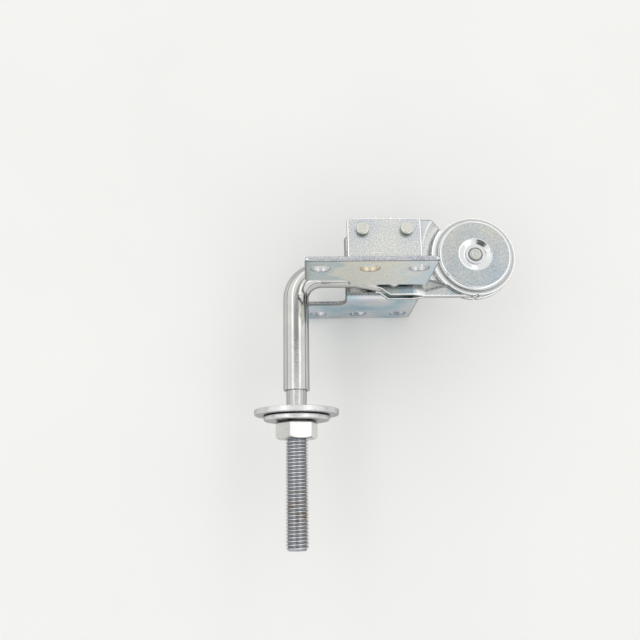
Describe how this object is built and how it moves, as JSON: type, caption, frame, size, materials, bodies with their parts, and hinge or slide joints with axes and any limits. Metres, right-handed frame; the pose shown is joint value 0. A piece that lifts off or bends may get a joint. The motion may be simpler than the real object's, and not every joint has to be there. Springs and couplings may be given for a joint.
{
  "type": "sofa headrest ratchet hinge",
  "caption": "Sofa headrest ratchet hinge: a bent tube with a threaded stud and nut, riveted arm plates, a round toothed pivot drum and folded brackets with screw flanges.",
  "frame": {"origin": "on the stud's axis at the lower face of the clamping nut", "axes": "-Y the way the stud points, +X from the stud to the pivot drum, +Z the pivot axis"},
  "size_m": [0.1251, 0.153, 0.0896],
  "materials": {
    "zinc_sheet": "bluish white zinc plating, satin",
    "bright_zinc": "bright zinc plating",
    "chromed_tube": "polished chrome plating",
    "hardened_steel": "hardened, oiled"
  },
  "bodies": {
    "stem": {"threaded_stud": "bright_zinc", "hex_nut": "bright_zinc", "small_washer": "bright_zinc", "large_washer": "bright_zinc", "bent_tube": "chromed_tube", "front_arm_plate": "zinc_sheet", "back_arm_plate": "zinc_sheet", "arm_rivets": "bright_zinc"},
    "bracket": {"front_bracket": "zinc_sheet", "back_bracket": "zinc_sheet", "front_link_plate": "zinc_sheet", "back_link_plate": "zinc_sheet", "bracket_rivets": "bright_zinc", "rivet_spacers": "bright_zinc", "front_cover": "zinc_sheet", "back_cover": "zinc_sheet", "pivot_rivet": "bright_zinc", "pivot_collars": "bright_zinc", "pawl_pin": "hardened_steel", "spring_post": "hardened_steel", "pawl_spring": "hardened_steel"},
    "pawl": {"pawl": "hardened_steel"}
  },
  "joints": [
    {"name": "headrest_tilt", "type": "hinge", "parent": "stem", "child": "bracket", "pos_m": [0.086, 0.0856, 0], "axis": [0, 0, -1], "range_deg": [0, 96]},
    {"name": "pawl_swing", "type": "hinge", "parent": "bracket", "child": "pawl", "pos_m": [0.09514, 0.09154, 0], "axis": [0, 0, -1], "range_deg": [0, 10]}
  ]
}
